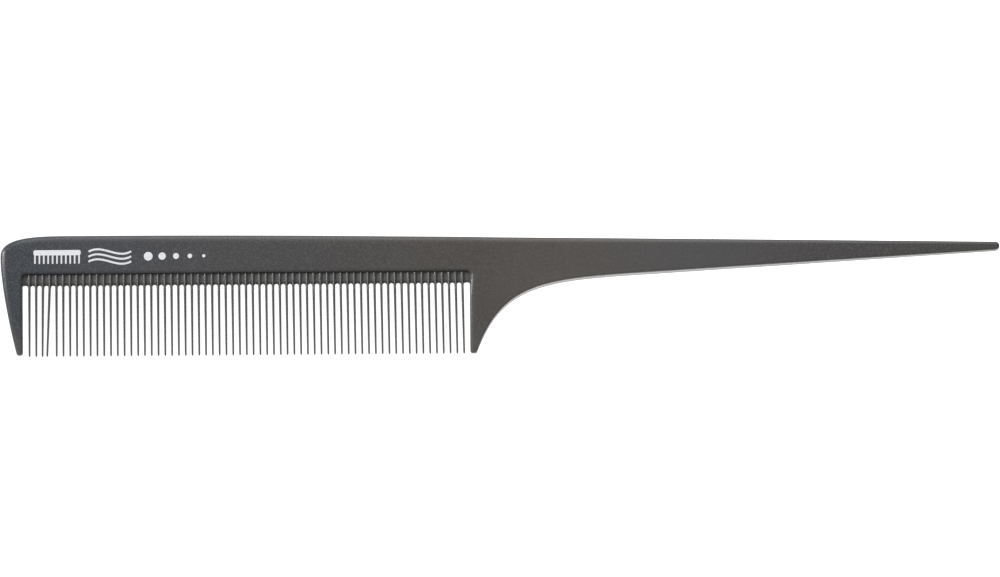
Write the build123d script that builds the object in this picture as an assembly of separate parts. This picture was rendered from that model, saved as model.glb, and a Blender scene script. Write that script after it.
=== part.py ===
from build123d import *
import math
import os

# Rat tail comb: one moulding with a head of fine teeth and a long pointed tail.
# Frame: X runs along the comb with the tail at +X, Y runs across it with the teeth
# at -Y, and Z is its thickness. The comb lies on Z = 0, and the origin is under the
# middle of its outline. Lengths are in millimetres and angles in degrees.

os.makedirs("parts", exist_ok=True)

# Whole comb
LENGTH = 216.0
HEIGHT = 26.34
THICKNESS = 3.6
EDGE_ROUND = 0.5
FRONT_X = -LENGTH / 2
TAIL_END_X = LENGTH / 2
TOP_Y = HEIGHT / 2
TIP_Y = -HEIGHT / 2
MID_Z = THICKNESS / 2
REACH = 400.0

# Top edge: a rounded front corner, one long arc, then straight to the tail's end
NOSE_Y = 8.8
CORNER_END_X = -95.0
CORNER_HANDLES = (3.75, 7.4)
TOP_STRAIGHT_START = (-26.2, 12.601)
TOP_SLOPE = -0.01654

# Front guard tooth: a bowed outer flank, and an inner wall that leans towards the teeth
FLANK_FOOT = (-104.35, -12.83)
FLANK_HANDLES = (5.2, 7.2)
FLANK_FOOT_ANGLE = 104.6
FRONT_WALL_X = -103.27
FRONT_WALL_FOOT_X = -103.08

# Rear guard tooth, and the heel that sweeps from it into the tail
REAR_WALL_X = -6.56
HEEL_FOOT = (-5.19, -13.1)
HEEL_HANDLES = ((0.45, 1.93), (9.4, 2.8))
HEEL_END = (30.5, 4.045)
GUARD_TIP_ROUND = 0.56

# Both guard teeth thin towards their tips
GUARD_THINNING_Y = 1.6
GUARD_TIP_THICKNESS = 1.7

# Tail
TAIL_START_X = 10.0
TAIL_LOWER_SLOPE = 0.059
TAIL_END_THICKNESS = 2.6
PROFILE_OVERRUN = 6.0

# Tooth opening, and the thin bar that ties the teeth together at their roots
LEDGE_Y = 4.8
OPENING_CORNER = 0.8
GUARD_TOP_Y = 3.8
SLOT_TOP_Y = 2.45
SLOT_ROUND = 0.45
ROOT_Y = SLOT_TOP_Y - SLOT_ROUND
WEB_AT_LEDGE = 1.5
WEB_AT_SLOTS = 1.3
BAR_OVERLAP = 0.6

# Fine teeth: (width, thickness) at the root, just above the tip, and at the tip
TOOTH_COUNT = 65
FIRST_TOOTH_X = -101.74
LAST_TOOTH_X = -8.17
TOOTH_PITCH = (LAST_TOOTH_X - FIRST_TOOTH_X) / (TOOTH_COUNT - 1)
ROOT_SECTION = (0.5, 2.6)
SHANK_SECTION = (0.42, 1.1)
TIP_SECTION = (0.22, 0.7)
SECTION_CORNER = 0.07
TIP_TAPER = 0.35

# The teeth lean slightly towards the tail, and two near the front are bent the other way
FIRST_LEAN = 0.36
LAST_LEAN = 1.02
BENT_LEANS = {2: -0.1, 3: -1.8}

# Printed marks on the upper face: a comb outline, wavy strands of hair and a row of dots
INK = 0.03
INK_Y = 8.45
ICON_X = -100.8
ICON_LENGTH = 10.2
ICON_HEIGHT = 3.0
ICON_SPINE = 1.15
ICON_TOOTH_COUNT = 11
ICON_TOOTH = 0.34
STRAND_X = -88.9
STRAND_LENGTH = 9.2
STRAND_COUNT = 3
STRAND_GAP = 1.1
STRAND_SWING = 0.5
STRAND_WIDTH = 0.42
DOT_X = -76.0
DOT_COUNT = 5
DOT_GAP = 3.0
LARGEST_DOT = 0.95
DOT_SHRINK = 0.15


def line_height(start, slope, x):
    """Height at x of the line through start with this slope."""
    return start[1] + slope * (x - start[0])


def tail_end_points():
    """Where the tail's end circle meets the top edge, the end plane and the lower edge."""
    top = line_height(TOP_STRAIGHT_START, TOP_SLOPE, TAIL_END_X)
    lower = line_height(HEEL_END, TAIL_LOWER_SLOPE, TAIL_END_X)
    top_run = math.hypot(1, TOP_SLOPE)
    lower_run = math.hypot(1, TAIL_LOWER_SLOPE)
    radius = (top - lower) / (TOP_SLOPE - TAIL_LOWER_SLOPE + top_run + lower_run)
    centre = Vector(TAIL_END_X - radius, top - radius * (TOP_SLOPE + top_run))
    top_angle = math.atan(TOP_SLOPE) + math.pi / 2
    lower_angle = math.atan(TAIL_LOWER_SLOPE) - math.pi / 2
    return [centre + Vector(math.cos(a), math.sin(a)) * radius for a in (top_angle, 0, lower_angle)]


def outline_edges():
    """Edges of the comb's plan without its fine teeth, clockwise from the foremost point."""
    nose = Vector(FRONT_X, NOSE_Y)
    corner_end = Vector(CORNER_END_X, TOP_Y)
    corner_rise = nose + Vector(0, CORNER_HANDLES[0])
    corner_run = corner_end - Vector(CORNER_HANDLES[1], 0)
    tail_top, tail_end, tail_lower = tail_end_points()
    flank_foot = Vector(*FLANK_FOOT)
    flank_rise = flank_foot + Vector(FLANK_HANDLES[1], 0).rotate(Axis.Z, FLANK_FOOT_ANGLE)
    flank_drop = nose - Vector(0, FLANK_HANDLES[0])
    return [
        Bezier(nose, corner_rise, corner_run, corner_end),
        TangentArc(corner_end, TOP_STRAIGHT_START, tangent=(1, 0)),
        Line(TOP_STRAIGHT_START, tail_top),
        ThreePointArc(tail_top, tail_end, tail_lower),
        Line(tail_lower, HEEL_END),
        Bezier(HEEL_END, HEEL_HANDLES[1], HEEL_HANDLES[0], HEEL_FOOT),
        Line(HEEL_FOOT, (REAR_WALL_X, HEEL_FOOT[1])),
        Line((REAR_WALL_X, HEEL_FOOT[1]), (REAR_WALL_X, LEDGE_Y)),
        Line((REAR_WALL_X, LEDGE_Y), (FRONT_WALL_X, LEDGE_Y)),
        Line((FRONT_WALL_X, LEDGE_Y), (FRONT_WALL_FOOT_X, FLANK_FOOT[1])),
        Line((FRONT_WALL_FOOT_X, FLANK_FOOT[1]), flank_foot),
        Bezier(flank_foot, flank_rise, flank_drop, nose),
    ]


def comb_plan():
    """The comb's plan, with its guard tips and the tooth opening's corners rounded."""
    plan = make_face(outline_edges())
    guard_tips = [v for v in plan.vertices() if v.Y < FLANK_FOOT[1] + GUARD_TIP_ROUND]
    plan = fillet(guard_tips, GUARD_TIP_ROUND)
    opening = [v for v in plan.vertices() if abs(v.Y - LEDGE_Y) < GUARD_TIP_ROUND]
    return fillet([v for v in opening if v.X < TAIL_START_X], OPENING_CORNER)


def thinning_slab(plane, level_from, start, end, end_thickness):
    """A wide slab, level up to start, then thinning evenly on both faces to end and beyond."""
    overrun = end + PROFILE_OVERRUN
    growth = (overrun - start) / (end - start)
    thinning = (THICKNESS - end_thickness) / 2 * growth**2
    edges = [
        Line((level_from, 0), (start, 0)),
        TangentArc((start, 0), (overrun, thinning), tangent=(1, 0)),
        Line((overrun, thinning), (overrun, THICKNESS - thinning)),
        TangentArc((start, THICKNESS), (overrun, THICKNESS - thinning), tangent=(1, 0)),
        Line((start, THICKNESS), (level_from, THICKNESS)),
        Line((level_from, THICKNESS), (level_from, 0)),
    ]
    return extrude(plane * make_face(edges), amount=REACH, both=True)


def moulded_body():
    """Head and tail as one solid with rounded rims, before it is divided into regions."""
    plate = extrude(comb_plan(), amount=THICKNESS)
    tail_slab = thinning_slab(
        Plane.XZ, FRONT_X - PROFILE_OVERRUN, TAIL_START_X, TAIL_END_X, TAIL_END_THICKNESS
    )
    down_the_guards = Plane(origin=(0, 0, 0), x_dir=(0, -1, 0), z_dir=(-1, 0, 0))
    guard_slab = thinning_slab(
        down_the_guards, TIP_Y - PROFILE_OVERRUN, -GUARD_THINNING_Y, -TIP_Y, GUARD_TIP_THICKNESS
    )
    body = plate & tail_slab & guard_slab
    level = [e for e in body.edges() if abs((e % 0.5).Z) < 0.5]
    off_tail = [e for e in level if abs(e.center().X - TAIL_START_X) > EDGE_ROUND]
    rims = [e for e in off_tail if abs(e.center().Y - GUARD_THINNING_Y) > EDGE_ROUND]
    return fillet(rims, EDGE_ROUND).solid()


def region(x_from, x_to, y_from, y_to):
    """A box over the comb's whole thickness, for dividing it into regions."""
    box = Box(x_to - x_from, y_to - y_from, 3 * THICKNESS)
    return Pos((x_from + x_to) / 2, (y_from + y_to) / 2, MID_Z) * box


def body_regions(body):
    """The moulding's named regions, which meet face to face."""
    middle_x = (FRONT_WALL_X + REAR_WALL_X) / 2
    return {
        "spine": body & region(-REACH, TAIL_START_X, GUARD_TOP_Y, REACH),
        "front_guard": body & region(-REACH, middle_x, -REACH, GUARD_TOP_Y),
        "rear_guard": body & region(middle_x, TAIL_START_X, -REACH, GUARD_TOP_Y),
        "tail": body & region(TAIL_START_X, REACH, -REACH, REACH),
    }


def tooth_positions():
    """X of every fine tooth at its root, from the front guard to the rear guard."""
    return [FIRST_TOOTH_X + TOOTH_PITCH * i for i in range(TOOTH_COUNT)]


def slot_spans():
    """Start and end X of every gap between neighbouring teeth, the guards included."""
    half = ROOT_SECTION[0] / 2
    starts = [FRONT_WALL_X] + [x + half for x in tooth_positions()]
    ends = [x - half for x in tooth_positions()] + [REAR_WALL_X]
    return list(zip(starts, ends))


def web():
    """Wedge-shaped web under the ledge, cut away below by the round-ended slots."""
    section = Polyline(
        (LEDGE_Y + BAR_OVERLAP, MID_Z - WEB_AT_LEDGE / 2),
        (LEDGE_Y + BAR_OVERLAP, MID_Z + WEB_AT_LEDGE / 2),
        (ROOT_Y, MID_Z + WEB_AT_SLOTS / 2),
        (ROOT_Y, MID_Z - WEB_AT_SLOTS / 2),
        close=True,
    )
    length = REAR_WALL_X - FRONT_WALL_X + 2 * BAR_OVERLAP
    wedge = extrude(Plane.YZ * make_face(section), amount=length)
    wedge = Pos(FRONT_WALL_X - BAR_OVERLAP, 0, 0) * wedge
    slot_height = 4 * SLOT_ROUND
    slots = [
        Pos((start + end) / 2, SLOT_TOP_Y - slot_height / 2)
        * RectangleRounded(end - start, slot_height, SLOT_ROUND)
        for start, end in slot_spans()
    ]
    return wedge - extrude(Sketch() + slots, amount=THICKNESS)


def ribs():
    """The teeth's own roots, standing proud of the web up to the ledge."""
    width, thickness = ROOT_SECTION
    height = LEDGE_Y + BAR_OVERLAP - ROOT_Y
    middle_y = ROOT_Y + height / 2
    return [Pos(x, middle_y, MID_Z) * Box(width, height, thickness) for x in tooth_positions()]


def tooth_root_bar(body):
    """Web and ribs as one solid, cut to sit against the ledge and the guards' inner walls."""
    opening = region(FRONT_WALL_X, REAR_WALL_X, ROOT_Y, LEDGE_Y)
    return (web() + ribs()) & opening - body


def tooth_lean(index):
    """Angle of a tooth from square to the comb, positive with its tip towards the tail."""
    if index in BENT_LEANS:
        return BENT_LEANS[index]
    return FIRST_LEAN + (LAST_LEAN - FIRST_LEAN) * index / (TOOTH_COUNT - 1)


def tooth_section(root_x, lean, y, size):
    """A tooth's section at height y, shifted sideways by the tooth's lean."""
    x = root_x + (ROOT_Y - y) * math.tan(math.radians(lean))
    plane = Plane(origin=(x, y, MID_Z), x_dir=(1, 0, 0), z_dir=(0, -1, 0))
    return plane * RectangleRounded(*size, SECTION_CORNER)


def tooth(index, root_x):
    """One tapering tooth, from its root section down to a rounded-off tip."""
    lean = tooth_lean(index)
    sections = [
        tooth_section(root_x, lean, ROOT_Y, ROOT_SECTION),
        tooth_section(root_x, lean, TIP_Y + TIP_TAPER, SHANK_SECTION),
        tooth_section(root_x, lean, TIP_Y, TIP_SECTION),
    ]
    return loft(sections, ruled=True)


def printed_comb():
    """Small comb symbol: a spine with short teeth under it."""
    spine_y = INK_Y + (ICON_HEIGHT - ICON_SPINE) / 2
    middle_x = ICON_X + ICON_LENGTH / 2
    symbol = Pos(middle_x, spine_y) * RectangleRounded(ICON_LENGTH, ICON_SPINE, ICON_SPINE / 3)
    pitch = (ICON_LENGTH - 2 * ICON_TOOTH) / (ICON_TOOTH_COUNT - 1)
    for i in range(ICON_TOOTH_COUNT):
        symbol += Pos(ICON_X + ICON_TOOTH + pitch * i, INK_Y) * Rectangle(ICON_TOOTH, ICON_HEIGHT)
    rim = RectangleRounded(ICON_LENGTH, ICON_HEIGHT, ICON_SPINE / 3)
    return symbol & Pos(middle_x, INK_Y) * rim


def printed_strand(index):
    """One wavy strand of hair, drawn as a ribbon along a smooth curve."""
    y = INK_Y + (index - (STRAND_COUNT - 1) / 2) * STRAND_GAP
    quarter = STRAND_LENGTH / 4
    swings = (0, 1, 0, -1, 0)
    points = [(STRAND_X + quarter * i, y + STRAND_SWING * s) for i, s in enumerate(swings)]
    return trace(Spline(points), line_width=STRAND_WIDTH)


def printed_dots():
    """A row of dots that shrink towards the tail."""
    radii = [LARGEST_DOT - DOT_SHRINK * i for i in range(DOT_COUNT)]
    return [Pos(DOT_X + DOT_GAP * i, INK_Y) * Circle(r) for i, r in enumerate(radii)]


def printed_marks():
    """Every printed mark as its own thin layer of ink on the upper face."""
    shapes = [printed_comb()]
    shapes += [printed_strand(i) for i in range(STRAND_COUNT)]
    shapes += printed_dots()
    return Compound([extrude(Pos(0, 0, THICKNESS) * s, amount=INK).solid() for s in shapes])


def main():
    body = moulded_body()
    parts = body_regions(body)
    parts["tooth_root_bar"] = tooth_root_bar(body)
    parts["fine_teeth"] = Compound([tooth(i, x).solid() for i, x in enumerate(tooth_positions())])
    parts["printed_marks"] = printed_marks()
    for name, shape in parts.items():
        export_step(shape, f"parts/{name}.step")


main()
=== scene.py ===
import math

import bmesh
import bpy
import numpy as np
from mathutils import Matrix, Vector
from mathutils.geometry import delaunay_2d_cdt


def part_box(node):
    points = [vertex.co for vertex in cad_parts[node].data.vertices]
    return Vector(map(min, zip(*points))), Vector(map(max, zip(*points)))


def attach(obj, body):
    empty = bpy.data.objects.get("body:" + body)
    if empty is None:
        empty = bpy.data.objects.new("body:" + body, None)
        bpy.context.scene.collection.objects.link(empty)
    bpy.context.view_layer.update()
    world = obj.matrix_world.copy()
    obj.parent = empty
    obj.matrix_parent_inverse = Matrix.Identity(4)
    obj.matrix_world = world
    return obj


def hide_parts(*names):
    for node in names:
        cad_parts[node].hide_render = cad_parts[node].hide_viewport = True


# Looks of the rat tail comb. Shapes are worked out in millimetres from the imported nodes'
# boxes and the values below, and every mesh is scaled to metres when it is made.

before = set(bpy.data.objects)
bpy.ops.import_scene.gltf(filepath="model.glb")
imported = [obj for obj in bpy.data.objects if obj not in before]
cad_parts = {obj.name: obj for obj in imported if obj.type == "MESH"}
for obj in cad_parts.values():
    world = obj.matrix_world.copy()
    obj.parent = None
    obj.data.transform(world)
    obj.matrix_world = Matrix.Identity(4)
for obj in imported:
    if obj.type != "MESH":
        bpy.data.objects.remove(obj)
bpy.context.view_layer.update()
MM = 0.001


def box_mm(node):
    """A CAD node's lowest and highest corners in millimetres."""
    low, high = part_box(node)
    return low / MM, high / MM


spine_low, spine_high = box_mm("spine")
tail_low, tail_high = box_mm("tail")
teeth_low, teeth_high = box_mm("fine_teeth")
front_low, front_high = box_mm("front_guard")
rear_low = box_mm("rear_guard")[0]
bar_high = box_mm("tooth_root_bar")[1]

# Whole comb
THICKNESS = spine_high.z
FRONT_X = spine_low.x
TOP_Y = spine_high.y
TAIL_START_X = tail_low.x
TAIL_END_X = tail_high.x
TAIL_END_THICKNESS = 2.6
GUARD_TOP_Y = front_high.y

# Top edge
NOSE_Y = 8.8
CORNER_END_X = -95.0
CORNER_HANDLES = (3.75, 7.4)
TOP_STRAIGHT_START = (-26.2, 12.601)
TOP_SLOPE = -0.01654

# Guards, heel and tail
FRONT_WALL_X = -103.27
FRONT_WALL_FOOT_X = -103.08
FRONT_TIP_Y = front_low.y
FLANK_FOOT_X = -104.35
FLANK_HANDLES = (5.2, 7.2)
FLANK_FOOT_ANGLE = 104.6
REAR_WALL_X = bar_high.x
REAR_TIP_Y = rear_low.y
HEEL_FOOT_X = -5.19
HEEL_HANDLES = ((0.45, 1.93), (9.4, 2.8))
HEEL_END = (30.5, 4.045)
TAIL_LOWER_SLOPE = 0.059
GUARD_TIP_ROUND = 0.56
GUARD_THINNING_Y = 1.6
GUARD_TIP_THICKNESS = 1.7
LEDGE_Y = bar_high.y
OPENING_CORNER = 0.8

# How finely the outline's curves are divided
CORNER_STEPS = 9
TAIL_END_STEPS = 15

# Rounding of the rims: how far it reaches in from the edge, and how far it drops there
HEAD_RIM = (2.0, 0.6)
NOSE_RIM = (1.55, 0.9)
TAIL_TOP_RIM = (0.8, 0.45)
TAIL_LOWER_RIM = (0.5, 0.5)
TIP_RIM = (0.44, 0.5)
BROAD_TIP_RIM = (0.75, 0.5)
GUARD_RIM = (1.4, 0.4)
GUARD_RIM_Y = -0.5
REAR_WALL_RIM = (1.05, 0.86)
LEDGE_RIM = (0.6, 0.5)
FRONT_WALL_RIM = (0.7, 0.6)
RIM_STEPS = 8
RIM_MARGIN = 0.06
PARTING_RIDGE = 0.03
PARTING_HALF_WIDTH = 0.12
PARTING_SHOULDER = 0.6  # share of the ridge's height that is left halfway up it
FACE_SPACING = 2.0
FACE_CLEARANCE = FACE_SPACING / 3

# Fine teeth and the bar at their roots
TOOTH_COUNT = 65
FIRST_TOOTH_X = -101.74
LAST_TOOTH_X = -8.17
TOOTH_PITCH = (LAST_TOOTH_X - FIRST_TOOTH_X) / (TOOTH_COUNT - 1)
ROOT_Y = teeth_high.y
TIP_Y = teeth_low.y
ROOT_HALF = (0.285, 1.3)
TIP_HALF = (0.205, 0.5)
SECTION_POWER = 3.0
TIP_ROUND = 0.4
FIRST_LEAN = 0.36
LAST_LEAN = 1.02
BENT_LEANS = {2: -0.1, 3: -1.8}
RIB_HALF_AT_LEDGE = (0.46, 1.08)
RIB_POWER = 2.4
RIB_COLUMNS = 7
SLOT_ROUND = 0.44
SLOT_COLUMNS = 8
WEB_HALF = 0.75
RIB_BLEND = 0.3
WEB_EDGE_ROUND = 0.5
WEB_EDGE_ROWS = 6
WEB_ROWS = 10
BAR_OVERLAP = 0.2
TOOTH_SIDES = 20
TOOTH_STATIONS = 12
TIP_STATIONS = 7
HIDDEN_END_SIZE = 0.9  # of a tooth's end inside the web, as a share of its root

# Plastic. Its tone shifts along the comb, from the foremost point to the tail's end
PLASTIC_TONES = (
    (0.0, (0.041, 0.050, 0.062)),
    (0.12, (0.062, 0.064, 0.074)),
    (0.28, (0.067, 0.064, 0.064)),
    (0.46, (0.076, 0.068, 0.061)),
    (0.55, (0.095, 0.084, 0.074)),
    (0.7, (0.084, 0.080, 0.082)),
    (0.82, (0.067, 0.062, 0.063)),
    (1.0, (0.057, 0.058, 0.051)),
)
FLOW_TONE = (0.9, 0.9, 0.91)
FLOW_SIZE = 9.0
FLOW_STRETCH = (2.5, 1, 1)
FLECK_TONE = (0.110, 0.108, 0.107)
FLECK_SIZE = 0.35
FLECK_EDGES = (0.45, 0.75)
RUB_SIZE = 4.0
RUB_STRETCH = (1.6, 1, 1)
PLASTIC_ROUGHNESS = (0.27, 0.34)
PLASTIC_IOR = 1.5
GRAIN_SIZE = 0.22
RIPPLE_SIZE = 1.4
RIPPLE_WEIGHT = 2.0
GRAIN_DEPTH = 0.0035
# Paler tone: a plain paling towards the guards' tips, and painted sheen on the root bar and teeth
PALER_AND_SHEEN_TONE = (0.096, 0.093, 0.091)

# Heights across the comb between which the plastic turns paler, from not at all to fully. On the
# guards it pales towards their tips; on the root bar and teeth the paler tone is painted sheen
GUARD_PALING = (-5.0, -15.0)
TEETH_PAINTED_SHEEN = (5.0, 4.0)

# Ink
INK_TONE = (0.88, 0.89, 0.92)
THIN_INK_TONE = (0.62, 0.63, 0.64)
THIN_INK_SIZE = 0.5
THIN_INK_EDGES = (0.52, 0.78)
INK_ROUGHNESS = (0.5, 0.62)
INK_ROUGHNESS_SIZE = 0.8
INK_GRAIN_SIZE = 0.3
INK_GRAIN_DEPTH = 0.004

# Floor, light and camera, in metres and degrees unless a comment says otherwise
FLOOR_SIZE = 6.0
FLOOR_CELLS = 8
FLOOR_TONE = 0.3
FLOOR_ROUGHNESS = 0.9
FLOOR_SPECULAR = 0.1
FLOOR_GLOW = (1.05, 1.8)  # under the head, and under the tail
FLOOR_GLOW_SHIFT = (0.465, 0.5)  # where the first passes into the second, as shares of the comb
WORLD_STRENGTH = 0.4
LEFT_SOFTBOX = (157, 36, 2.4, 0.4, 64)  # azimuth, elevation, distance, size, radiance
BACK_SOFTBOX = (90, 40, 2.4, 1.3, 2.6)
SENSOR = 36.0  # millimetres
CAMERA_DISTANCE = 1.56
CAMERA_AIM = (-0.07, 1.08, 1.8)  # millimetres
CAMERA_TILT = 11.0
CAMERA_ROLL = 0.458
CAMERA_CLIP = (0.05, 20)
FRAME_WIDTH = 0.21606


# Outline of the comb without its fine teeth, clockwise from its foremost point

def unit(v):
    """The direction of v."""
    return v / np.linalg.norm(v)


def point(x, y):
    """A place in the comb's plane."""
    return np.array([x, y], float)


def line_run(a, b, step=2.0):
    """Points from a to b, and the direction at each."""
    count = max(2, int(np.linalg.norm(b - a) / step) + 1)
    share = np.linspace(0, 1, count)[:, None]
    return a + (b - a) * share, np.tile(unit(b - a), (count, 1))


def cubic_run(a, b, c, d, step=0.8):
    """Points along a cubic curve with handles b and c, and the direction at each."""
    reach = sum(np.linalg.norm(q - p) for p, q in ((a, b), (b, c), (c, d)))
    t = np.linspace(0, 1, int(reach / step) + 1)[:, None]
    points = (1 - t) ** 3 * a + 3 * (1 - t) ** 2 * t * b + 3 * (1 - t) * t**2 * c + t**3 * d
    ways = (1 - t) ** 2 * (b - a) + 2 * (1 - t) * t * (c - b) + t**2 * (d - c)
    return points, ways / np.linalg.norm(ways, axis=1)[:, None]


def arc_run(centre, radius, start, end, count):
    """Points along an arc between two angles, and the direction at each."""
    angles = np.linspace(start, end, count)
    spokes = np.stack([np.cos(angles), np.sin(angles)], 1)
    turn = 1 if end > start else -1
    return centre + radius * spokes, turn * np.stack([-spokes[:, 1], spokes[:, 0]], 1)


def corner_run(before, at, after, radius):
    """The arc that rounds the corner at, on the way from before to after."""
    back, on = unit(before - at), unit(after - at)
    half = math.acos(float(np.clip(back @ on, -1, 1))) / 2
    start = at + back * radius / math.tan(half)
    centre = at + unit(back + on) * radius / math.sin(half)
    spoke = start - centre
    start_angle = math.atan2(spoke[1], spoke[0])
    turn = math.copysign(math.pi - 2 * half, -back[0] * on[1] + back[1] * on[0])
    return arc_run(centre, radius, start_angle, start_angle + turn, CORNER_STEPS)


def tail_end_arc():
    """The tail's rounded end, which touches both of its edges and its end plane."""
    top = TOP_STRAIGHT_START[1] + TOP_SLOPE * (TAIL_END_X - TOP_STRAIGHT_START[0])
    lower = HEEL_END[1] + TAIL_LOWER_SLOPE * (TAIL_END_X - HEEL_END[0])
    top_run = math.hypot(1, TOP_SLOPE)
    lower_run = math.hypot(1, TAIL_LOWER_SLOPE)
    radius = (top - lower) / (TOP_SLOPE - TAIL_LOWER_SLOPE + top_run + lower_run)
    centre = point(TAIL_END_X - radius, top - radius * (TOP_SLOPE + top_run))
    start = math.atan(TOP_SLOPE) + math.pi / 2
    end = math.atan(TAIL_LOWER_SLOPE) - math.pi / 2
    return arc_run(centre, radius, start, end, TAIL_END_STEPS)


def top_arc():
    """The long shallow arc from the head's level stretch to the straight top of the tail."""
    start, end = point(CORNER_END_X, TOP_Y), point(*TOP_STRAIGHT_START)
    across, down = end[0] - start[0], start[1] - end[1]
    radius = (across**2 + down**2) / (2 * down)
    sweep = 2 * math.atan2(down, across)
    centre = start - point(0, radius)
    return arc_run(centre, radius, math.pi / 2, math.pi / 2 - sweep, int(across / 2))


def outline_runs():
    """The outline's runs in order, each with its rim at the start and at the end."""
    nose = point(FRONT_X, NOSE_Y)
    corner_end = point(CORNER_END_X, TOP_Y)
    flank_way = math.radians(FLANK_FOOT_ANGLE)
    flank_way = point(math.cos(flank_way), math.sin(flank_way))
    flank_foot = point(FLANK_FOOT_X, FRONT_TIP_Y)
    front_foot = point(FRONT_WALL_FOOT_X, FRONT_TIP_Y)
    front_ledge = point(FRONT_WALL_X, LEDGE_Y)
    rear_ledge = point(REAR_WALL_X, LEDGE_Y)
    rear_middle = point(REAR_WALL_X, GUARD_RIM_Y)
    rear_foot = point(REAR_WALL_X, REAR_TIP_Y)
    heel_foot = point(HEEL_FOOT_X, REAR_TIP_Y)
    heel_end = point(*HEEL_END)
    low_handle, high_handle = point(*HEEL_HANDLES[0]), point(*HEEL_HANDLES[1])

    tail_end = tail_end_arc()
    heel_tip = corner_run(low_handle, heel_foot, rear_foot, GUARD_TIP_ROUND)
    rear_tip = corner_run(heel_foot, rear_foot, rear_ledge, GUARD_TIP_ROUND)
    rear_corner = corner_run(rear_foot, rear_ledge, front_ledge, OPENING_CORNER)
    front_corner = corner_run(rear_ledge, front_ledge, front_foot, OPENING_CORNER)
    front_tip = corner_run(front_ledge, front_foot, flank_foot, GUARD_TIP_ROUND)
    flank_tip = corner_run(front_foot, flank_foot, flank_foot + flank_way, GUARD_TIP_ROUND)
    flank_handle = flank_foot + flank_way * FLANK_HANDLES[1]
    corner_rise = nose + point(0, CORNER_HANDLES[0])
    corner_reach = corner_end - point(CORNER_HANDLES[1], 0)
    flank_drop = nose - point(0, FLANK_HANDLES[0])
    return [
        (cubic_run(nose, corner_rise, corner_reach, corner_end), NOSE_RIM, HEAD_RIM),
        (top_arc(), HEAD_RIM, HEAD_RIM),
        (line_run(point(*TOP_STRAIGHT_START), tail_end[0][0]), HEAD_RIM, TAIL_TOP_RIM),
        (tail_end, TAIL_TOP_RIM, TAIL_LOWER_RIM),
        (line_run(tail_end[0][-1], heel_end), TAIL_LOWER_RIM, TAIL_LOWER_RIM),
        (cubic_run(heel_end, high_handle, low_handle, heel_tip[0][0]), TAIL_LOWER_RIM, TIP_RIM),
        (heel_tip, TIP_RIM, TIP_RIM),
        (line_run(heel_tip[0][-1], rear_tip[0][0]), TIP_RIM, TIP_RIM),
        (rear_tip, TIP_RIM, BROAD_TIP_RIM),
        (line_run(rear_tip[0][-1], rear_middle, 1.0), BROAD_TIP_RIM, GUARD_RIM),
        (line_run(rear_middle, rear_corner[0][0], 1.0), GUARD_RIM, REAR_WALL_RIM),
        (rear_corner, REAR_WALL_RIM, LEDGE_RIM),
        (line_run(rear_corner[0][-1], front_corner[0][0]), LEDGE_RIM, LEDGE_RIM),
        (front_corner, LEDGE_RIM, FRONT_WALL_RIM),
        (line_run(front_corner[0][-1], front_tip[0][0], 1.0), FRONT_WALL_RIM, TIP_RIM),
        (front_tip, TIP_RIM, TIP_RIM),
        (line_run(front_tip[0][-1], flank_tip[0][0]), TIP_RIM, TIP_RIM),
        (flank_tip, TIP_RIM, BROAD_TIP_RIM),
        (cubic_run(flank_tip[0][-1], flank_handle, flank_drop, nose), BROAD_TIP_RIM, NOSE_RIM),
    ]


def comb_outline():
    """Points, outward directions, rim reaches and rim drops all round the comb."""
    points, outward, rims = [], [], []
    for (run, ways), rim_start, rim_end in outline_runs():
        share = np.linspace(0, 1, len(run))[:, None]
        points.append(run[:-1])
        outward.append(np.stack([-ways[:-1, 1], ways[:-1, 0]], 1))
        rims.append((np.array(rim_start) + share * (np.array(rim_end) - rim_start))[:-1])
    rims = np.concatenate(rims)
    return np.concatenate(points), np.concatenate(outward), rims[:, 0], rims[:, 1]


# The moulded plate: one closed skin, with the true normal kept at every vertex

def tail_share(x):
    """How far along the tail x is: 0 at the head, 1 at the tail's end."""
    return np.clip((x - TAIL_START_X) / (TAIL_END_X - TAIL_START_X), 0, None)


def guard_share(y):
    """How far down the thinning part of the guard teeth y is: 1 at the tips of the fine teeth."""
    return np.clip((GUARD_THINNING_Y - y) / (GUARD_THINNING_Y - TIP_Y), 0, None)


def half_thickness(flat):
    """Half the plate's thickness at each place, thinning along the tail and down the guards."""
    tail_thinning = (THICKNESS - TAIL_END_THICKNESS) / 2 * tail_share(flat[:, 0]) ** 2
    guard_thinning = (THICKNESS - GUARD_TIP_THICKNESS) / 2 * guard_share(flat[:, 1]) ** 2
    return THICKNESS / 2 - tail_thinning - guard_thinning


def face_slopes(flat):
    """How fast the half thickness changes along X and along Y at each place."""
    tail_length = TAIL_END_X - TAIL_START_X
    guard_length = GUARD_THINNING_Y - TIP_Y
    along_x = -(THICKNESS - TAIL_END_THICKNESS) * tail_share(flat[:, 0]) / tail_length
    along_y = (THICKNESS - GUARD_TIP_THICKNESS) * guard_share(flat[:, 1]) / guard_length
    return np.stack([along_x, along_y], 1)


def inset_places(outline, inset):
    """The outline's points moved inwards by each point's own inset."""
    return outline[0] - outline[1] * inset[:, None]


def ring(outline, inset, lift, out_share, up_share):
    """One ring of the plate's upper half: its places and normals, measured from mid thickness."""
    flat = inset_places(outline, inset)
    outward = outline[1] * out_share[:, None] - face_slopes(flat) * up_share[:, None]
    normals = np.column_stack([outward, up_share])
    return np.column_stack([flat, lift]), normals / np.linalg.norm(normals, axis=1)[:, None]


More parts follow.
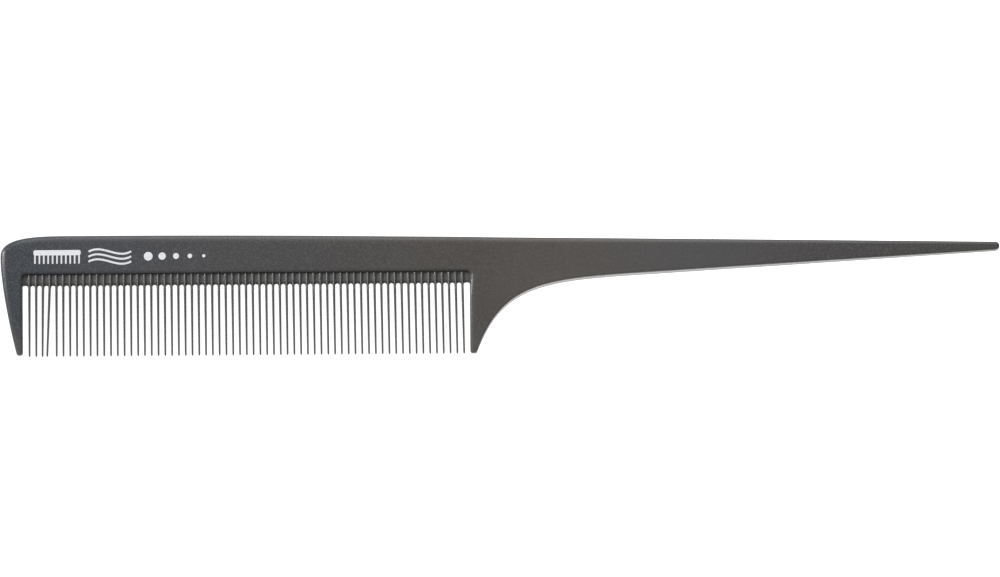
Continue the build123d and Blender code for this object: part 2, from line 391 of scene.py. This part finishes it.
def upper_rings(outline):
    """Rings from the parting line up the wall, over the rim and onto the flat face."""
    points, _, reach, drop = outline
    ones, zeros = np.ones(len(points)), np.zeros(len(points))
    ridge = -PARTING_RIDGE * ones
    rings = [
        ring(outline, ridge, zeros, ones, zeros),
        ring(outline, ridge * PARTING_SHOULDER, PARTING_HALF_WIDTH / 2 * ones, ones, ones / 2),
        ring(outline, zeros, PARTING_HALF_WIDTH * ones, ones, zeros),
    ]
    for step in range(RIM_STEPS + 1):
        turn = math.pi / 2 * step / RIM_STEPS
        inset = reach * (1 - math.cos(turn))
        lift = half_thickness(inset_places(outline, inset)) - drop * (1 - math.sin(turn))
        rings.append(ring(outline, inset, lift, math.cos(turn) / reach, math.sin(turn) / drop))
    inset = reach + RIM_MARGIN
    rings.append(ring(outline, inset, half_thickness(inset_places(outline, inset)), zeros, ones))
    return rings


def inside(polygon, points):
    """Which of the points lie inside the polygon."""
    a, b = polygon, np.roll(polygon, -1, 0)
    x, y = points[:, :1], points[:, 1:]
    crosses = (a[:, 1] > y) != (b[:, 1] > y)
    rise = np.where(a[:, 1] == b[:, 1], 1, b[:, 1] - a[:, 1])
    at = a[:, 0] + (y - a[:, 1]) * (b[:, 0] - a[:, 0]) / rise
    return (crosses & (x < at)).sum(1) % 2 == 1


def distance_to(polygon, points):
    """Distance from each point to the polygon's nearest side."""
    a, b = polygon, np.roll(polygon, -1, 0)
    side = b - a
    length = np.maximum((side**2).sum(1), 1e-9)
    along = ((points[:, None] - a) * side).sum(2) / length
    nearest = a + np.clip(along, 0, 1)[:, :, None] * side
    return np.linalg.norm(points[:, None] - nearest, axis=2).min(1)


def face_triangles(polygon):
    """Extra points inside the polygon, and the triangles that fill it with even spacing."""
    low, high = polygon.min(0), polygon.max(0)
    xs = np.arange(low[0], high[0], FACE_SPACING)
    ys = np.arange(low[1], high[1], FACE_SPACING)
    grid = np.array([(x, y) for x in xs for y in ys])
    grid = grid[inside(polygon, grid)]
    grid = grid[distance_to(polygon, grid) > FACE_CLEARANCE]
    everything = [Vector(p) for p in np.concatenate([polygon, grid]).tolist()]
    border = [list(range(len(polygon)))]
    places, _, triangles, came_from, _, _ = delaunay_2d_cdt(everything, [], border, 1, 1e-6)
    source = [origins[0] for origins in came_from]
    triangles = [[source[i] for i in triangle] for triangle in triangles]
    return grid, [counter_clockwise(triangle, everything) for triangle in triangles]


def counter_clockwise(triangle, places):
    """The triangle's corners in the order that makes it face up."""
    a, b, c = (places[i] for i in triangle)
    turn = (b - a).cross(c - a)
    return triangle if turn > 0 else triangle[::-1]


def plate_skin():
    """The whole plate as a closed bmesh in millimetres, with a layer of true normals."""
    outline = comb_outline()
    upper = upper_rings(outline)
    flip = np.array([1, 1, -1])
    lower = [(places * flip, normals * flip) for places, normals in upper[:0:-1]]
    rings = lower + upper
    grid, triangles = face_triangles(rings[-1][0][:, :2])
    face_z = half_thickness(grid)
    face_normals = np.column_stack([-face_slopes(grid), np.ones(len(grid))])
    caps = [
        (np.column_stack([grid, -face_z]), face_normals * flip),
        (np.column_stack([grid, face_z]), face_normals),
    ]

    bm = bmesh.new()
    layer = bm.verts.layers.float_vector.new("true_normal")

    def add(places, normals):
        """New vertices at the places, each with its normal."""
        made = []
        for place, normal in zip(places, normals):
            vert = bm.verts.new((place[0], place[1], place[2] + THICKNESS / 2))
            vert[layer] = normal
            made.append(vert)
        return made

    rows = [add(*one) for one in rings]
    count = len(rows[0])
    for row, above in zip(rows, rows[1:]):
        for i in range(count):
            j = (i + 1) % count
            bm.faces.new((row[i], above[i], above[j], row[j]))
    under = rows[0] + add(*caps[0])
    over = rows[-1] + add(*caps[1])
    for a, b, c in triangles:
        bm.faces.new((over[a], over[b], over[c]))
        bm.faces.new((under[a], under[c], under[b]))
    return bm


def cut_region(skin, planes):
    """The part of the skin on the inner side of every plane, closed again with flat faces."""
    bm = skin.copy()
    for place, outward in planes:
        everything = bm.verts[:] + bm.edges[:] + bm.faces[:]
        bmesh.ops.bisect_plane(
            bm, geom=everything, dist=1e-6, plane_co=place, plane_no=outward, clear_outer=True
        )
        rim = [edge for edge in bm.edges if edge.is_boundary]
        filled = bmesh.ops.holes_fill(bm, edges=rim, sides=0)["faces"]
        for face in filled:
            face.smooth = False
            face.normal_update()
            if face.normal.dot(Vector(outward)) < 0:
                face.normal_flip()
    return bm


def finished(name, bm, node):
    """Turns a bmesh in millimetres into a piece that stands for a CAD node."""
    layer = bm.verts.layers.float_vector.get("true_normal")
    bm.normal_update()
    normals = []
    for face in bm.faces:
        for vert in face.verts:
            curved = layer is not None and face.smooth
            normals.append(vert[layer].normalized() if curved else face.normal.copy())
    bmesh.ops.scale(bm, vec=(MM, MM, MM), verts=bm.verts)
    mesh = bpy.data.meshes.new(name)
    bm.to_mesh(mesh)
    bm.free()
    if layer is not None:
        mesh.shade_smooth()
        mesh.normals_split_custom_set(normals)
    piece = bpy.data.objects.new(name, mesh)
    bpy.context.scene.collection.objects.link(piece)
    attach(piece, "root")
    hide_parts(node)
    return piece


def plate_pieces():
    """Spine, guards and tail: the plate's skin divided where the CAD regions meet."""
    skin = plate_skin()
    middle_x = (FRONT_WALL_X + REAR_WALL_X) / 2
    to_tail = ((TAIL_START_X, 0, 0), (1, 0, 0))
    from_head = ((TAIL_START_X, 0, 0), (-1, 0, 0))
    above_guards = ((0, GUARD_TOP_Y, 0), (0, -1, 0))
    below_spine = ((0, GUARD_TOP_Y, 0), (0, 1, 0))
    front_half = ((middle_x, 0, 0), (1, 0, 0))
    rear_half = ((middle_x, 0, 0), (-1, 0, 0))
    regions = {
        "spine": [to_tail, above_guards],
        "front_guard": [below_spine, front_half],
        "rear_guard": [to_tail, below_spine, rear_half],
        "tail": [from_head],
    }
    pieces = [
        finished(f"comb_{node}", cut_region(skin, planes), node)
        for node, planes in regions.items()
    ]
    skin.free()
    return pieces


# The ribbed web at the teeth's roots

def tooth_root_x():
    """X of every fine tooth's root."""
    return FIRST_TOOTH_X + TOOTH_PITCH * np.arange(TOOTH_COUNT)


def slot_middles():
    """Middle and half width of every gap between neighbouring teeth, the guards included."""
    starts = np.concatenate([[FRONT_WALL_X], tooth_root_x() + ROOT_HALF[0]])
    ends = np.concatenate([tooth_root_x() - ROOT_HALF[0], [REAR_WALL_X]])
    return (starts + ends) / 2, (ends - starts) / 2


def bar_columns():
    """X of the web's mesh columns, closest together where ribs and slot ends curve most."""
    turn = np.linspace(-math.pi / 2, math.pi / 2, RIB_COLUMNS)
    ribs = [x + ROOT_HALF[0] * np.sin(turn) for x in tooth_root_x()]
    quarter = np.linspace(0, math.pi / 2, SLOT_COLUMNS)
    slots = []
    for middle, half in zip(*slot_middles()):
        reach = half - SLOT_ROUND + SLOT_ROUND * np.sin(quarter)
        slots.append(np.concatenate([middle - reach, middle + reach]))
    ends = [FRONT_WALL_X - BAR_OVERLAP, REAR_WALL_X + BAR_OVERLAP]
    return np.unique(np.round(np.concatenate(ribs + slots + [ends]), 5))


def beyond_slots(x, y):
    """Distance from each place to the round end of its slot; places on a rib count as far."""
    middles, halves = slot_middles()
    distance = np.full(x.shape, SLOT_ROUND)
    for middle, half in zip(middles, halves):
        across = np.abs(x - middle)
        beyond = np.hypot(np.clip(across - half + SLOT_ROUND, 0, None), y - ROOT_Y) - SLOT_ROUND
        distance = np.where(across <= half, beyond, distance)
    return distance


def bar_edge(x):
    """Height at which the web ends above the slot at each x, or where its rib starts."""
    edge = np.full(x.shape, ROOT_Y)
    for middle, half in zip(*slot_middles()):
        across = np.clip(np.abs(x - middle) - half + SLOT_ROUND, 0, SLOT_ROUND)
        height = ROOT_Y + np.sqrt(SLOT_ROUND**2 - across**2)
        edge = np.where(np.abs(x - middle) <= half, height, edge)
    return edge


def smooth_max(a, b, blend):
    """The larger of two heights, with a hollow fillet where they cross."""
    overlap = np.clip(blend - np.abs(a - b), 0, None) / blend
    return np.maximum(a, b) + overlap**2 * blend / 4


def bar_height(x, y):
    """Height of the ribbed web's surface above mid thickness."""
    rise = np.clip((y - ROOT_Y) / (LEDGE_Y - ROOT_Y), 0, 1)
    rib_half = ROOT_HALF[0] + (RIB_HALF_AT_LEDGE[0] - ROOT_HALF[0]) * rise
    rib_top = ROOT_HALF[1] + (RIB_HALF_AT_LEDGE[1] - ROOT_HALF[1]) * rise
    nearest = np.clip(np.round((x - FIRST_TOOTH_X) / TOOTH_PITCH), 0, TOOTH_COUNT - 1)
    off = np.abs(x - FIRST_TOOTH_X - TOOTH_PITCH * nearest) / rib_half
    rib = rib_top * np.clip(1 - off**RIB_POWER, 0, None) ** (1 / RIB_POWER)
    edge = np.clip(beyond_slots(x, y) / WEB_EDGE_ROUND, 0, 1)
    return smooth_max(rib, WEB_HALF * np.sqrt(1 - (1 - edge) ** 2), RIB_BLEND)


def root_bar():
    """The web with its ribs and round slot ends, closed and the same on both faces."""
    columns = bar_columns()
    edge = bar_edge(columns)
    near = WEB_EDGE_ROUND * (1 - np.cos(np.linspace(0, math.pi / 2, WEB_EDGE_ROWS)))
    share = np.linspace(0, 1, WEB_ROWS + 1)[1:]
    top_y = LEDGE_Y + BAR_OVERLAP
    start = edge[:, None] + near
    rest = start[:, -1:] + (top_y - start[:, -1:]) * share
    y = np.concatenate([start, rest], 1)
    x = np.tile(columns[:, None], (1, y.shape[1]))
    height = np.maximum(bar_height(x, y), PARTING_RIDGE)

    bm = bmesh.new()
    sides = []
    for sign in (1, -1):
        z = THICKNESS / 2 + sign * height
        places = np.stack([x, y, z], 2)
        sides.append([[bm.verts.new(place) for place in column] for column in places])
    over, under = sides
    column_count, row_count = x.shape
    for i in range(column_count - 1):
        for k in range(row_count - 1):
            bm.faces.new((over[i][k], over[i + 1][k], over[i + 1][k + 1], over[i][k + 1]))
            bm.faces.new((under[i][k], under[i][k + 1], under[i + 1][k + 1], under[i + 1][k]))
        bm.faces.new((under[i][0], under[i + 1][0], over[i + 1][0], over[i][0]))
        bm.faces.new((over[i][-1], over[i + 1][-1], under[i + 1][-1], under[i][-1]))
    for k in range(row_count - 1):
        bm.faces.new((over[0][k], over[0][k + 1], under[0][k + 1], under[0][k]))
        bm.faces.new((under[-1][k], under[-1][k + 1], over[-1][k + 1], over[-1][k]))
    for face in bm.faces:
        face.smooth = True
    return finished("comb_tooth_root_bar", bm, "tooth_root_bar")


# Fine teeth

def tooth_lean(index):
    """Angle of a tooth from square to the comb, positive with its tip towards the tail."""
    if index in BENT_LEANS:
        return BENT_LEANS[index]
    return FIRST_LEAN + (LAST_LEAN - FIRST_LEAN) * index / (TOOTH_COUNT - 1)


def tooth_stations():
    """Height and size of a tooth's sections, from inside the root bar to its rounded tip."""
    body = [(y, 1.0) for y in np.linspace(ROOT_Y, TIP_Y + TIP_ROUND, TOOTH_STATIONS)]
    turns = np.linspace(0, math.pi / 2, TIP_STATIONS)[1:-1]
    tip = [(TIP_Y + TIP_ROUND * (1 - math.sin(turn)), math.cos(turn)) for turn in turns]
    return [(ROOT_Y + BAR_OVERLAP, HIDDEN_END_SIZE)] + body + tip


def tooth_section(y, size):
    """A closed rounded section at height y, measured from the tooth's own middle."""
    share = (ROOT_Y - y) / (ROOT_Y - TIP_Y)
    half = np.array(ROOT_HALF) + share * (np.array(TIP_HALF) - np.array(ROOT_HALF))
    turns = np.linspace(0, 2 * math.pi, TOOTH_SIDES, endpoint=False)
    power = 2 / SECTION_POWER
    across = np.sign(np.cos(turns)) * np.abs(np.cos(turns)) ** power
    up = np.sign(np.sin(turns)) * np.abs(np.sin(turns)) ** power
    return half[0] * size * across, half[1] * size * up


def add_tooth(bm, root_x, lean):
    """Adds one closed tooth to the bmesh."""
    slant = math.tan(math.radians(lean))
    middle_z = THICKNESS / 2
    rows = []
    for y, size in tooth_stations():
        middle_x = root_x + (ROOT_Y - y) * slant
        across, up = tooth_section(y, size)
        places = zip(middle_x + across, middle_z + up)
        rows.append([bm.verts.new((x, y, z)) for x, z in places])
    tip = bm.verts.new((root_x + (ROOT_Y - TIP_Y) * slant, TIP_Y, middle_z))
    bm.faces.new(rows[0])
    for row, below in zip(rows, rows[1:]):
        for i in range(TOOTH_SIDES):
            j = (i + 1) % TOOTH_SIDES
            bm.faces.new((row[i], below[i], below[j], row[j]))
    for i in range(TOOTH_SIDES):
        bm.faces.new((rows[-1][i], tip, rows[-1][(i + 1) % TOOTH_SIDES]))


def fine_teeth():
    """All the teeth, tapering in both directions, each with its own slight lean."""
    bm = bmesh.new()
    for index, root_x in enumerate(tooth_root_x()):
        add_tooth(bm, root_x, tooth_lean(index))
    bmesh.ops.recalc_face_normals(bm, faces=bm.faces)
    for face in bm.faces:
        face.smooth = True
    return finished("comb_fine_teeth", bm, "fine_teeth")


# Materials

class Nodes:
    """Short names for building one material's node tree."""

    def __init__(self, name):
        self.material = bpy.data.materials.new(name)
        self.material.use_nodes = True
        self.tree = self.material.node_tree
        self.shader = self.tree.nodes["Principled BSDF"]
        self.place = self.add("ShaderNodeTexCoord").outputs["Object"]

    def add(self, kind, **values):
        """A new node with the given properties."""
        node = self.tree.nodes.new(kind)
        for key, value in values.items():
            setattr(node, key, value)
        return node

    def link(self, source, target):
        """Feeds the target socket from the source."""
        self.tree.links.new(source, target)

    def noise(self, size_mm, detail=2.0, roughness=0.5, stretch=(1, 1, 1)):
        """Noise whose features are about size_mm across, stretched along the comb's axes."""
        mapping = self.add("ShaderNodeMapping")
        mapping.inputs["Scale"].default_value = [1 / (size_mm * MM * s) for s in stretch]
        self.link(self.place, mapping.inputs["Vector"])
        noise = self.add("ShaderNodeTexNoise")
        noise.inputs["Scale"].default_value = 1.0
        noise.inputs["Detail"].default_value = detail
        noise.inputs["Roughness"].default_value = roughness
        self.link(mapping.outputs["Vector"], noise.inputs["Vector"])
        return noise.outputs["Fac"]

    def spread(self, source, low, high, start=0.3, end=0.7):
        """A value that runs from low to high as the source runs from start to end."""
        spread = self.add("ShaderNodeMapRange")
        ends = {"From Min": start, "From Max": end, "To Min": low, "To Max": high}
        for socket, value in ends.items():
            spread.inputs[socket].default_value = value
        self.link(source, spread.inputs["Value"])
        return spread.outputs["Result"]

    def between(self, axis, start_mm, end_mm):
        """A value that runs from 0 to 1 between two places along one of the comb's axes."""
        split = self.add("ShaderNodeSeparateXYZ")
        self.link(self.place, split.inputs["Vector"])
        return self.spread(split.outputs[axis], 0.0, 1.0, start_mm * MM, end_mm * MM)

    def along_comb(self):
        """A value that runs from 0 at the comb's foremost point to 1 at the tail's end."""
        return self.between("X", FRONT_X, TAIL_END_X)

    def ramp(self, share, stops):
        """A colour that passes smoothly through the stops, each a share and a colour."""
        ramp = self.add("ShaderNodeValToRGB")
        ramp.color_ramp.interpolation = "EASE"
        elements = ramp.color_ramp.elements
        for position, _ in stops[2:]:
            elements.new(position)
        for element, (position, colour) in zip(elements, stops):
            element.position = position
            element.color = (*colour, 1)
        self.link(share, ramp.inputs["Fac"])
        return ramp.outputs["Color"]

    def mix(self, share, first, second, blend_type="MIX"):
        """A colour that goes from first to second with share; each is a colour or a socket."""
        mix = self.add("ShaderNodeMix", data_type="RGBA", blend_type=blend_type)
        colour_in = [s for s in mix.inputs if s.type == "RGBA"]
        self.link(share, mix.inputs[0])
        for socket, value in zip(colour_in, (first, second)):
            if isinstance(value, bpy.types.NodeSocket):
                self.link(value, socket)
            else:
                socket.default_value = (*value, 1)
        return next(s for s in mix.outputs if s.type == "RGBA")

    def sum(self, first, second, weight):
        """first plus weight times second."""
        node = self.add("ShaderNodeMath", operation="MULTIPLY_ADD")
        self.link(second, node.inputs[0])
        node.inputs[1].default_value = weight
        self.link(first, node.inputs[2])
        return node.outputs[0]

    def bump(self, height, depth_mm):
        """Bumps the surface by up to depth_mm where height goes from 0 to 1."""
        bump = self.add("ShaderNodeBump")
        bump.inputs["Strength"].default_value = 1.0
        bump.inputs["Distance"].default_value = depth_mm * MM
        self.link(height, bump.inputs["Height"])
        self.link(bump.outputs["Normal"], self.shader.inputs["Normal"])


def comb_plastic(name, paler_heights):
    """Dark satin plastic with carbon in it: flow mottling, flecks, a soft grain and a paler tone
    between two heights, which on the teeth is painted sheen.
    """
    made = Nodes(name)
    flow = made.spread(made.noise(FLOW_SIZE, detail=3.0, stretch=FLOW_STRETCH), 0.0, 1.0)
    fleck = made.spread(made.noise(FLECK_SIZE), 0.0, 1.0, *FLECK_EDGES)
    base = made.ramp(made.along_comb(), PLASTIC_TONES)
    mottled = made.mix(flow, base, FLOW_TONE, "MULTIPLY")
    # Paler between the given heights: painted sheen on the root bar and teeth, a plain paling
    # towards the guards' tips
    paler_colour = made.mix(made.between("Y", *paler_heights), mottled, PALER_AND_SHEEN_TONE)
    made.link(made.mix(fleck, paler_colour, FLECK_TONE), made.shader.inputs["Base Color"])
    rubbed = made.noise(RUB_SIZE, detail=4.0, roughness=0.6, stretch=RUB_STRETCH)
    made.link(made.spread(rubbed, *PLASTIC_ROUGHNESS), made.shader.inputs["Roughness"])
    grain = made.sum(made.noise(GRAIN_SIZE), made.noise(RIPPLE_SIZE), RIPPLE_WEIGHT)
    made.bump(grain, GRAIN_DEPTH)
    made.shader.inputs["IOR"].default_value = PLASTIC_IOR
    return made.material


def print_ink():
    """Off-white pad-printed ink, thin enough in places for the plastic to grey it."""
    made = Nodes("print_ink")
    blotches = made.noise(THIN_INK_SIZE, detail=4.0, roughness=0.7)
    thin = made.spread(blotches, 0.0, 1.0, *THIN_INK_EDGES)
    made.link(made.mix(thin, INK_TONE, THIN_INK_TONE), made.shader.inputs["Base Color"])
    dull = made.spread(made.noise(INK_ROUGHNESS_SIZE), *INK_ROUGHNESS)
    made.link(dull, made.shader.inputs["Roughness"])
    made.bump(made.noise(INK_GRAIN_SIZE), INK_GRAIN_DEPTH)
    return made.material


# Floor, light and camera

def floor():
    """A large pale table that the comb lies on, lit brightly enough to wash out."""
    bm = bmesh.new()
    cells = {"x_segments": FLOOR_CELLS, "y_segments": FLOOR_CELLS}
    bmesh.ops.create_grid(bm, **cells, size=FLOOR_SIZE / 2)
    mesh = bpy.data.meshes.new("floor")
    bm.to_mesh(mesh)
    bm.free()
    plane = bpy.data.objects.new("floor", mesh)
    bpy.context.scene.collection.objects.link(plane)
    made = Nodes("floor_paper")
    made.shader.inputs["Base Color"].default_value = (FLOOR_TONE, FLOOR_TONE, FLOOR_TONE, 1)
    made.shader.inputs["Roughness"].default_value = FLOOR_ROUGHNESS
    made.shader.inputs["Specular IOR Level"].default_value = FLOOR_SPECULAR
    made.shader.inputs["Emission Color"].default_value = (1, 1, 1, 1)
    glow = made.spread(made.along_comb(), *FLOOR_GLOW, *FLOOR_GLOW_SHIFT)
    made.link(glow, made.shader.inputs["Emission Strength"])
    mesh.materials.append(made.material)


def world_light():
    """Dim even light from all round."""
    world = bpy.data.worlds.new("studio")
    world.use_nodes = True
    background = world.node_tree.nodes["Background"]
    background.inputs["Color"].default_value = (1, 1, 1, 1)
    background.inputs["Strength"].default_value = WORLD_STRENGTH
    bpy.context.scene.world = world


def softbox(name, azimuth, elevation, distance, size, radiance):
    """A square soft light that faces the comb. Azimuth turns from +X towards +Y, in degrees."""
    around, above = math.radians(azimuth), math.radians(elevation)
    way = Vector((
        math.cos(around) * math.cos(above),
        math.sin(around) * math.cos(above),
        math.sin(above),
    ))
    data = bpy.data.lights.new(name, "AREA")
    data.shape = "SQUARE"
    data.size = size
    data.energy = radiance * math.pi * size**2
    lamp = bpy.data.objects.new(name, data)
    lamp.location = way * distance
    lamp.rotation_mode = "QUATERNION"
    lamp.rotation_quaternion = (-way).to_track_quat("-Z", "Y")
    bpy.context.scene.collection.objects.link(lamp)


def camera():
    """Looks down on the comb from a little towards its teeth, with the tail slightly raised."""
    tilt, roll = math.radians(CAMERA_TILT), math.radians(CAMERA_ROLL)
    back = Vector((0, -math.sin(tilt), math.cos(tilt)))
    level_up = Vector((0, math.cos(tilt), math.sin(tilt)))
    level_right = Vector((1, 0, 0))
    right = level_right * math.cos(roll) - level_up * math.sin(roll)
    up = level_up * math.cos(roll) + level_right * math.sin(roll)
    data = bpy.data.cameras.new("camera")
    data.sensor_width = SENSOR
    data.lens = SENSOR * CAMERA_DISTANCE / FRAME_WIDTH
    data.clip_start, data.clip_end = CAMERA_CLIP
    seen = bpy.data.objects.new("camera", data)
    turn = Matrix((right, up, back)).transposed()
    aim = Vector(CAMERA_AIM) * MM
    seen.matrix_world = Matrix.Translation(aim + back * CAMERA_DISTANCE) @ turn.to_4x4()
    bpy.context.scene.collection.objects.link(seen)
    bpy.context.scene.camera = seen


body_plastic = comb_plastic("comb_plastic", GUARD_PALING)
# The root bar and teeth get the paler tone all over, as painted sheen for the light the thin
# teeth catch
teeth_plastic_painted_sheen = comb_plastic("teeth_plastic_painted_sheen", TEETH_PAINTED_SHEEN)
ink = print_ink()
for piece in plate_pieces():
    piece.data.materials.append(body_plastic)
for piece in (root_bar(), fine_teeth()):
    piece.data.materials.append(teeth_plastic_painted_sheen)
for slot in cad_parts["printed_marks"].material_slots:
    slot.material = ink

floor()
world_light()
softbox("left_softbox", *LEFT_SOFTBOX)
softbox("back_softbox", *BACK_SOFTBOX)
camera()
bpy.context.scene.view_settings.view_transform = "Standard"
